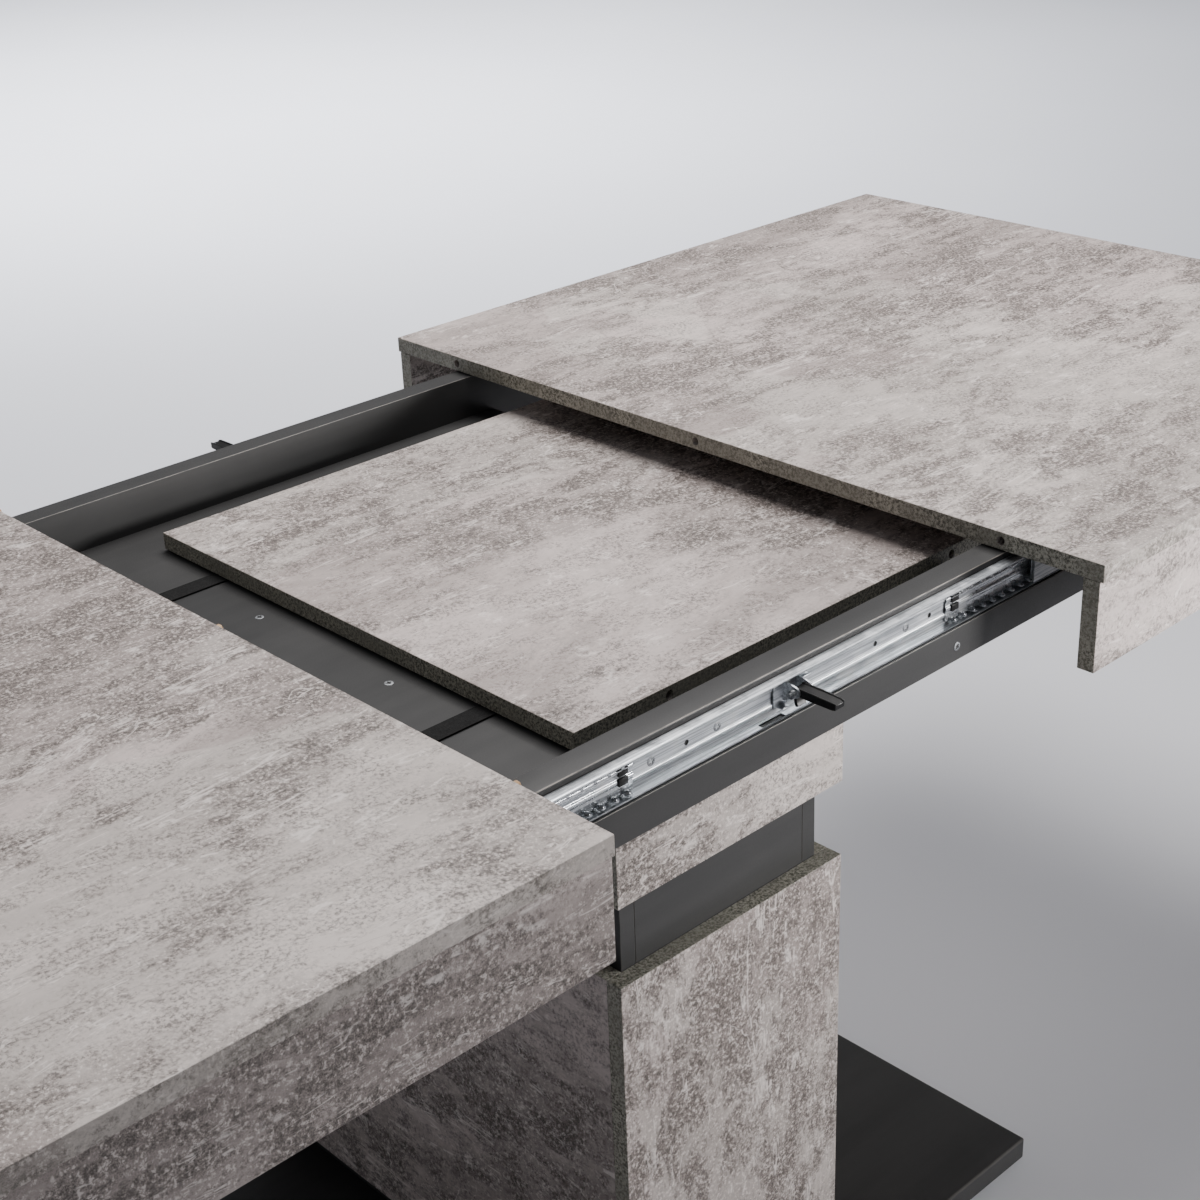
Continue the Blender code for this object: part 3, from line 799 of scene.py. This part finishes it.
# ================================================================== ball cages
BALL_PITCH = 0.013
BALL_RADIUS = 0.0024
BALL_DEPTH = 0.0051
BALL_RISE = 0.0124
CAGE_SHEET = 0.0006
CAGE_WEB_DEPTH = 0.0019
CAGE_LIP_DEPTH = 0.0077
CAGE_END_MARGIN = 0.0075
CAGE_RIB = 0.0011
CAGE_BEND = 0.0008
BALL_STEPS = 14
LIP_BOTTOM = 0.0102
LIP_TAB_HALF = 0.0013
LUG_RADIUS = 0.0035
LUG_CLEARANCE = 0.0003
LUG_HALF_SHEET = 0.00035
LUG_STEPS = 14
# Lower edge of the dark strip on the cage web: painted shade behind the lip windows.
SHADE_STRIP_BOTTOM = 0.0094
PAD_START = 0.006
PAD_LENGTH = 0.009
PAD_DEPTHS = (0.0014 + CAGE_SHEET, 0.0046)
PAD_RISES = ((0.0032, 0.0088), (-0.0048, 0.0010))
PAD_EDGE = 0.0004


def ring_lug(centre, outer, inner, z_low, z_high):
    """Flat ring that holds a ball, lying in the XY plane."""
    data = bmesh.new()
    loops = []
    for radius, z in ((outer, z_low), (outer, z_high), (inner, z_high), (inner, z_low)):
        ring = []
        for i in range(LUG_STEPS):
            angle = 2 * math.pi * i / LUG_STEPS
            x = centre[0] + radius * math.cos(angle)
            y = centre[1] + radius * math.sin(angle)
            ring.append(data.verts.new((x, y, z)))
        loops.append(ring)
    for first, second in zip(loops, loops[1:] + loops[:1]):
        join_rings(data, first, second)
    return data


def cage_line():
    """Middle line of a cage: top flange, ribbed web, and the strip its lower lugs stand on."""
    web = CAGE_WEB_DEPTH
    rib = web + CAGE_RIB
    return [
        (CAGE_LIP_DEPTH, BALL_RISE + 0.0003),
        (web, BALL_RISE + 0.0003),
        (web, 0.0086),
        (rib, 0.0076),
        (rib, 0.0050),
        (web, 0.0040),
        (web, 0.0006),
        (rib, -0.0004),
        (rib, -0.0030),
        (web, -0.0040),
        (web, -BALL_RISE),
        (BALL_DEPTH - 0.0024, -BALL_RISE),
    ]


def add_cage_sheet(data, side, gap_end, far_end, centres):
    """Bent sheet of a cage: web and flange, a lip with tabs between the balls, and lower lugs."""
    way = 1 if far_end > gap_end else -1
    outline = sheet_outline(rounded(cage_line(), CAGE_BEND, 3), CAGE_SHEET)
    add(data, plate([at_slide(side, *point) for point in outline], 0, gap_end, far_end))
    lip_depths = (CAGE_LIP_DEPTH - CAGE_SHEET / 2, CAGE_LIP_DEPTH + CAGE_SHEET / 2)
    add(data, slide_block(side, (gap_end, far_end), lip_depths, (LIP_BOTTOM, LIP_BOTTOM + CAGE_SHEET)))
    between = [centres[0] - way * BALL_PITCH / 2] + [c + way * BALL_PITCH / 2 for c in centres]
    for x in between:
        tab = (x - LIP_TAB_HALF, x + LIP_TAB_HALF)
        if min(tab) > min(gap_end, far_end) and max(tab) < max(gap_end, far_end):
            add(data, slide_block(side, tab, lip_depths, (LIP_BOTTOM, BALL_RISE + 0.0004)))
    y, z = at_slide(side, BALL_DEPTH, -BALL_RISE)
    for x in centres:
        inner = BALL_RADIUS - LUG_CLEARANCE
        add(data, ring_lug((x, y), LUG_RADIUS, inner, z - LUG_HALF_SHEET, z + LUG_HALF_SHEET))


def add_balls(data, side, centres):
    """Upper and lower row of steel balls."""
    ball = [
        (BALL_RADIUS * math.sin(math.pi * i / 10), -BALL_RADIUS * math.cos(math.pi * i / 10))
        for i in range(1, 10)
    ]
    for x in centres:
        for rise in (BALL_RISE, -BALL_RISE):
            y, z = at_slide(side, BALL_DEPTH, rise)
            add(data, lathe(ball, (x, y, z), (0, 0, 1), BALL_STEPS), 1)


def build_cage(end_name, end, side_name, side):
    """Ball cage with its balls, a dark strip of painted shade behind the lip windows and two pads at
    the end by the gap.
    """
    node_name = f"{end_name}_ball_cage_{side_name}"
    low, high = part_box(node_name)
    gap_end, far_end = (low.x, high.x) if end > 0 else (high.x, low.x)
    length = high.x - low.x
    count = int((length - 2 * CAGE_END_MARGIN) / BALL_PITCH) + 1
    centres = [gap_end + end * (CAGE_END_MARGIN + i * BALL_PITCH) for i in range(count)]
    data = bmesh.new()
    add_cage_sheet(data, side, gap_end, far_end, centres)
    add_balls(data, side, centres)
    # Dark plastic strip on the web behind the lip: painted shade in the cavity seen through the
    # windows.
    shade_strip = (CAGE_WEB_DEPTH + CAGE_SHEET / 2, CAGE_WEB_DEPTH + CAGE_SHEET)
    add(data, slide_block(side, (low.x, high.x), shade_strip, (SHADE_STRIP_BOTTOM, BALL_RISE)), 2)
    pad = (gap_end + end * PAD_START, gap_end + end * (PAD_START + PAD_LENGTH))
    for rises in PAD_RISES:
        add(data, slide_block(side, pad, PAD_DEPTHS, rises, PAD_EDGE), 2)
    piece(
        f"{end_name}_cage_and_balls_{side_name}",
        data,
        [CAGE_ZINC, BALL_STEEL_PAINTED_SHADE, PLASTIC],
        f"{end_name}_cage_{side_name}",
        [node_name],
    )


# ================================================================== sliding members and angles
MEMBER_STEEL = 0.0009
MEMBER_BEND = 0.0012
MEMBER_GROOVE = 0.0006
ANGLE_STEEL = 0.0018
ANGLE_BEND = 0.003
ANGLE_SLOT_STEPS = (0.060, 0.240, 0.420)
ANGLE_SLOT_HALF_LENGTH = 0.009
ANGLE_SLOT_HALF_HEIGHT = 0.0035
ANGLE_SLOT_CUT = (-0.001, 0.005)
ANGLE_SCREW_STEPS = (0.012, 0.026, 0.150, 0.300, 0.450, 0.588)
ANGLE_SCREW_DROP = 0.010


def build_member(end_name, side_name, side):
    """Sliding member with a shallow ball groove in each flange."""
    node_name = f"{end_name}_slide_inner_{side_name}"
    low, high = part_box(node_name)
    half = (high.z - low.z) / 2 - MEMBER_STEEL / 2
    near = min(abs(low.y), abs(high.y)) - SLIDE_BACK_Y
    far = max(abs(low.y), abs(high.y)) - SLIDE_BACK_Y - MEMBER_STEEL / 2
    upper = [
        (near, half - 0.0002),
        (near + 0.0012, half - MEMBER_GROOVE),
        (near + 0.0032, half - MEMBER_GROOVE),
        (near + 0.0044, half),
        (far, half),
    ]
    line = upper + [(depth, -rise) for depth, rise in reversed(upper)]
    outline = sheet_outline(rounded(line, MEMBER_BEND), MEMBER_STEEL)
    piece(
        f"{end_name}_sliding_member_{side_name}",
        plate([at_slide(side, *point) for point in outline], 0, low.x, high.x),
        [ZINC],
        f"{end_name}_half",
        [node_name],
    )


def build_angle(end_name, end, side_name, side):
    """Bent angle that hangs the top on the sliding member, with its screws."""
    node_name = f"{end_name}_mounting_angle_{side_name}"
    low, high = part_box(node_name)
    inner = min(abs(low.y), abs(high.y))
    outer = max(abs(low.y), abs(high.y))
    line = [
        (inner + ANGLE_STEEL / 2, low.z),
        (inner + ANGLE_STEEL / 2, high.z - ANGLE_STEEL / 2),
        (outer, high.z - ANGLE_STEEL / 2),
    ]
    outline = sheet_outline(rounded(line, ANGLE_BEND, 5), ANGLE_STEEL)
    obj = piece(
        f"{end_name}_bent_angle_{side_name}",
        plate([(side * y, z) for y, z in outline], 0, low.x, high.x),
        [ANGLE_ZINC],
        f"{end_name}_half",
        [node_name],
    )
    near_x = low.x if end > 0 else high.x
    mid_z = (low.z + high.z) / 2
    y_pair = [side * (inner + depth) for depth in ANGLE_SLOT_CUT]
    slots = []
    for step in ANGLE_SLOT_STEPS:
        x = near_x + end * step
        corner_low = (x - ANGLE_SLOT_HALF_LENGTH, min(y_pair), mid_z - ANGLE_SLOT_HALF_HEIGHT)
        corner_high = (x + ANGLE_SLOT_HALF_LENGTH, max(y_pair), mid_z + ANGLE_SLOT_HALF_HEIGHT)
        slots.append(block(corner_low, corner_high))
    cut(obj, slots)
    places = []
    for i, step in enumerate(ANGLE_SCREW_STEPS):
        point = (near_x + end * step, side * (inner + ANGLE_STEEL), high.z - ANGLE_SCREW_DROP)
        places.append((point, (0, side, 0), 0.5 + 0.8 * i))
    screws(f"{end_name}_angle_screws_{side_name}", places, f"{end_name}_half")


# ================================================================== latch brackets and levers
EAR_STEEL = 0.0015
EAR_GAP = 0.0063
EAR_REACH = EAR_GAP + EAR_STEEL
EAR_TIP_RADIUS = 0.0046
EAR_TIP_STEPS = 8
LATCH_EDGE = 0.0004
PIN_HEAD_RADIUS = 0.0026
PIN_HEAD_HEIGHT = 0.0011
PIN_RADIUS = 0.0017
PIN_LENGTH = 0.0066
SPRING_RADIUS = 0.0031
SPRING_WIRE = 0.0004
SPRING_TURNS = 3
SPRING_PITCH = 0.0012
COIL_STEPS = 14
LEVER_THICK = 0.0070
LEVER_RIM = 0.0013
LEVER_GROOVE = 0.0011
HEEL_STEEL = 0.0030
HEEL_LINE = ((0.0018, -0.0035), (0.0016, -0.0070), (0.0020, -0.0100), (0.0034, -0.0132))


def tube_along(points, radius, steps=8):
    """Round wire through a list of points."""
    data = bmesh.new()
    rings = []
    first = None
    for i, point in enumerate(points):
        along = (points[min(i + 1, len(points) - 1)] - points[max(i - 1, 0)]).normalized()
        if first is None:
            first = along.orthogonal().normalized()
        else:
            first = (first - along * first.dot(along)).normalized()
        second = along.cross(first)
        ring = []
        for step in range(steps):
            angle = 2 * math.pi * step / steps
            offset = first * math.cos(angle) + second * math.sin(angle)
            ring.append(data.verts.new(point + offset * radius))
        rings.append(ring)
    skin(data, rings)
    return data


def lever_pivot(side_name):
    """Point on the hinge axis of a release lever."""
    hinge = next(j for j in frame["joints"] if j["name"] == f"lever_hinge_{side_name}")
    return Vector(hinge["pos_m"])


def add_ears(data, side, pivot):
    """Two ears with rounded tips, one on each side of the lever."""
    rise = pivot.z - SLIDE_MID_Z
    depth = abs(pivot.y) - SLIDE_BACK_Y
    for way in (-1, 1):
        outline = [(0.0020, rise - 0.0105), (0.0020, rise + 0.0070)]
        for step in range(EAR_TIP_STEPS + 1):
            angle = math.radians(80 - 160 * step / EAR_TIP_STEPS)
            across = EAR_TIP_RADIUS * math.cos(angle)
            outline.append((depth + across, rise + EAR_TIP_RADIUS * math.sin(angle)))
        outline = [at_slide(side, *point) for point in outline]
        start = pivot.x + way * EAR_GAP
        add(data, plate(outline, 0, start, start + way * EAR_STEEL))


def add_pin_heads(data, pivot):
    """Flat rivet heads of the pivot pin on the outer faces of the ears."""
    for way in (-1, 1):
        head = [
            (0.0006, 0.0),
            (PIN_HEAD_RADIUS, 0.0),
            (PIN_HEAD_RADIUS, 0.0007),
            (0.0020, PIN_HEAD_HEIGHT),
            (0.0005, PIN_HEAD_HEIGHT),
        ]
        start = Vector((pivot.x + way * EAR_REACH, pivot.y, pivot.z))
        add(data, lathe(head, start, (way, 0, 0), 18), 1)


def add_spring(data, pivot):
    """Coil spring with a straight leg, round the pin beside the ear."""
    coil = []
    for step in range(COIL_STEPS * SPRING_TURNS + 1):
        angle = 2 * math.pi * step / COIL_STEPS
        x = pivot.x - EAR_REACH - 0.0016 - SPRING_PITCH * step / COIL_STEPS
        y = pivot.y + SPRING_RADIUS * math.cos(angle)
        coil.append(Vector((x, y, pivot.z + SPRING_RADIUS * math.sin(angle))))
    coil.append(coil[-1] + Vector((-0.0005, 0, -0.006)))
    add(data, tube_along(coil, SPRING_WIRE), 1)
    core = [
        (0.0004, 0.0),
        (PIN_RADIUS, 0.0),
        (PIN_RADIUS, PIN_LENGTH - 0.0004),
        (0.0012, PIN_LENGTH),
        (0.0004, PIN_LENGTH),
    ]
    add(data, lathe(core, (pivot.x - EAR_REACH, pivot.y, pivot.z), (-1, 0, 0), 16), 1)


def build_latch(side_name, side):
    """Bent steel bracket in the channel, with two ears, a pivot pin and its spring."""
    node_name = f"latch_bracket_{side_name}"
    low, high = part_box(node_name)
    pivot = lever_pivot(side_name)
    data = bmesh.new()
    bends = (
        ((low.x, high.x), (0.0016, 0.0028), (-0.0095, 0.0120)),
        ((low.x + 0.004, low.x + 0.012), (0.0026, 0.0085), (-0.0095, -0.0083)),
        ((high.x - 0.009, high.x), (0.0026, 0.0080), (0.0085, 0.0097)),
    )
    for x_pair, depths, rises in bends:
        add(data, slide_block(side, x_pair, depths, rises, LATCH_EDGE))
    add_ears(data, side, pivot)
    add_pin_heads(data, pivot)
    add_spring(data, pivot)
    piece(
        f"bent_latch_{side_name}",
        data,
        [ZINC, SCREW_ZINC],
        "pedestal",
        [node_name],
    )


def build_lever(side_name, side):
    """Black lever: a bar with a rim along each side, and a hooked heel below its root."""
    node_name = f"release_lever_{side_name}"
    low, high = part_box(node_name)
    pivot = lever_pivot(side_name)
    base = min(abs(low.y), abs(high.y))
    tip = max(abs(low.y), abs(high.y))
    half = (high.x - low.x) / 2 - EAR_STEEL - TOUCH_GAP
    stations = [
        (base, half * 0.94, 0.0060),
        (base + 0.003, half, LEVER_THICK),
        (base + 0.020, half, LEVER_THICK),
        (tip - 0.003, half * 0.96, 0.0064),
        (tip, half * 0.88, 0.0052),
    ]
    data = bmesh.new()
    rings = []
    for y, width, thick in stations:
        z_high = high.z - (LEVER_THICK - thick) / 2
        z_low = z_high - thick
        floor = z_high - LEVER_GROOVE
        section = [
            (-width, z_low),
            (width, z_low),
            (width, z_high),
            (width - LEVER_RIM, z_high),
            (width - LEVER_RIM - 0.0003, floor),
            (-width + LEVER_RIM + 0.0003, floor),
            (-width + LEVER_RIM, z_high),
            (-width, z_high),
        ]
        rings.append([data.verts.new((pivot.x + x, side * y, z)) for x, z in section])
    skin(data, rings)
    heel = [(base + y, pivot.z + z) for y, z in HEEL_LINE]
    outline = [(side * y, z) for y, z in sheet_outline(rounded(heel, 0.002, 3), HEEL_STEEL)]
    add(data, plate(outline, 0, pivot.x - half * 0.8, pivot.x + half * 0.8))
    obj = piece(
        f"black_lever_{side_name}",
        data,
        [PLASTIC],
        f"lever_{side_name}",
        [node_name],
    )
    bevel = obj.modifiers.new("edges", "BEVEL")
    bevel.width = 0.0004
    bevel.segments = 2
    bevel.limit_method = "ANGLE"


# ================================================================== dowels and glides
DOWEL_CHAMFER = 0.0010
DOWEL_STEPS = 48
DOWEL_FLUTES = 12
FLUTE_DEPTH = 0.0003


def build_dowel(node_name, body, axis, seed):
    """Fluted beech dowel with chamfered ends."""
    low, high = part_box(node_name)
    centre = (low + high) / 2
    half = (high[axis] - low[axis]) / 2
    across = (axis + 1) % 3
    radius = (high[across] - low[across]) / 2
    profile = [
        (radius - DOWEL_CHAMFER, -half),
        (radius, -half + DOWEL_CHAMFER),
        (radius, half - DOWEL_CHAMFER),
        (radius - DOWEL_CHAMFER, half),
    ]
    direction = [0, 0, 0]
    direction[axis] = 1
    piece(
        f"fluted_{node_name}",
        lathe(profile, centre, direction, DOWEL_STEPS, DOWEL_FLUTES, FLUTE_DEPTH),
        [beech(f"beech_{node_name}", seed, axis)],
        body,
        [node_name],
    )


def build_glide(node_name):
    """Floor glide with a rounded foot."""
    low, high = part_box(node_name)
    centre = (low + high) / 2
    radius = (high.x - low.x) / 2
    height = high.z - low.z
    profile = [
        (radius * 0.86, 0.0),
        (radius * 0.96, 0.0008),
        (radius, 0.0022),
        (radius, height - 0.0006),
        (radius - 0.0006, height),
        (0.004, height),
    ]
    piece(
        f"round_{node_name}",
        lathe(profile, (centre.x, centre.y, low.z), (0, 0, 1), 40),
        [PLASTIC],
        "pedestal",
        [node_name],
    )


# ================================================================== putting it together
for side_name, side in SIDES.items():
    build_rail(side_name, side)
    build_channel(side_name, side)
    build_latch(side_name, side)
    build_lever(side_name, side)
    for end_name, end in ENDS.items():
        build_cage(end_name, end, side_name, side)
        build_member(end_name, side_name, side)
        build_angle(end_name, end, side_name, side)
        build_glide(f"floor_glide_{end_name}_{side_name}")
for row, row_name in enumerate(("left", "middle", "right")):
    build_dowel(f"front_dowel_{row_name}", "front_half", 0, 60 + row)
    build_dowel(f"leaf_dowel_{row_name}", "leaf", 1, 70 + row)

HEAD_SCREW_X = 0.172
HEAD_SCREW_Y = 0.0885
head_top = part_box("head_panel")[1].z
head_places = [
    ((x * HEAD_SCREW_X, y * HEAD_SCREW_Y, head_top), (0, 0, 1), 0.7 * x + y)
    for x in (-1, 1)
    for y in (-1, 1)
]
screws("head_screws", head_places, "pedestal")


# ================================================================== floor, light, camera
def floor_material():
    """Pale studio floor with a barely mottled tone."""
    material, tree, shader = start_material("pale_floor", 0.0)
    _, moved = place_vector(tree, 1)
    mottle = noise(tree, moved, 0.8, 3, 0.5)
    colour = mix(tree, mottle, (0.76, 0.765, 0.80, 1), (0.79, 0.795, 0.83, 1))
    roughness = ramp(tree, mottle, 0.3, 0.7, 0.60, 0.70)
    finish_shader(tree, shader, colour, roughness, mottle, 0.02, 0.001)
    return material


def build_stage():
    """Floor that stays out of the part, and a dim cool world."""
    data = bmesh.new()
    bmesh.ops.create_grid(data, x_segments=8, y_segments=8, size=30)
    floor = piece("studio_floor", data, [floor_material()], None)
    world = bpy.data.worlds.new("studio")
    world.use_nodes = True
    background = world.node_tree.nodes["Background"]
    background.inputs["Color"].default_value = (0.90, 0.93, 1.0, 1)
    background.inputs["Strength"].default_value = 0.20
    bpy.context.scene.world = world


def soft_light(name, at, aim, width, height, power, colour, spread=180):
    """Rectangular light at a point, turned towards another, with its spread in degrees."""
    light = bpy.data.lights.new(name, "AREA")
    light.shape = "RECTANGLE"
    light.size = width
    light.size_y = height
    light.energy = power
    light.spread = math.radians(spread)
    light.color = colour
    lamp = bpy.data.objects.new(name, light)
    bpy.context.scene.collection.objects.link(lamp)
    lamp.location = at
    lamp.rotation_euler = (Vector(aim) - Vector(at)).to_track_quat("-Z", "Y").to_euler()


def build_camera():
    """Camera from a heading round Z, an angle below the horizon and a sideways tilt."""
    ahead = Vector(
        (
            math.cos(CAMERA_HEADING) * math.cos(CAMERA_DOWN),
            math.sin(CAMERA_HEADING) * math.cos(CAMERA_DOWN),
            -math.sin(CAMERA_DOWN),
        )
    )
    right = Vector((math.sin(CAMERA_HEADING), -math.cos(CAMERA_HEADING), 0))
    down = ahead.cross(right)
    tilted_right = right * math.cos(CAMERA_TILT) + down * math.sin(CAMERA_TILT)
    tilted_down = down * math.cos(CAMERA_TILT) - right * math.sin(CAMERA_TILT)
    turn = Matrix((tilted_right, -tilted_down, -ahead)).transposed()
    data = bpy.data.cameras.new("camera")
    data.sensor_width = 36
    data.lens = CAMERA_LENS
    camera = bpy.data.objects.new("camera", data)
    bpy.context.scene.collection.objects.link(camera)
    camera.matrix_world = Matrix.Translation(CAMERA_AT) @ turn.to_4x4()
    bpy.context.scene.camera = camera


build_stage()
soft_light("overhead", (0.9, 0.45, 3.2), (0.1, 0.1, 0.7), 1.8, 1.8, 118, (1.0, 0.975, 0.965))
soft_light("side", (1.5, -1.9, 0.95), (0.66, -0.45, 0.72), 1.0, 0.5, 9, (1.0, 0.98, 0.97), 50)
soft_light("background", (2.5, 5.0, 3.4), (4.0, 6.5, 0.0), 4.0, 4.0, 720, (0.93, 0.95, 1.0))
build_camera()
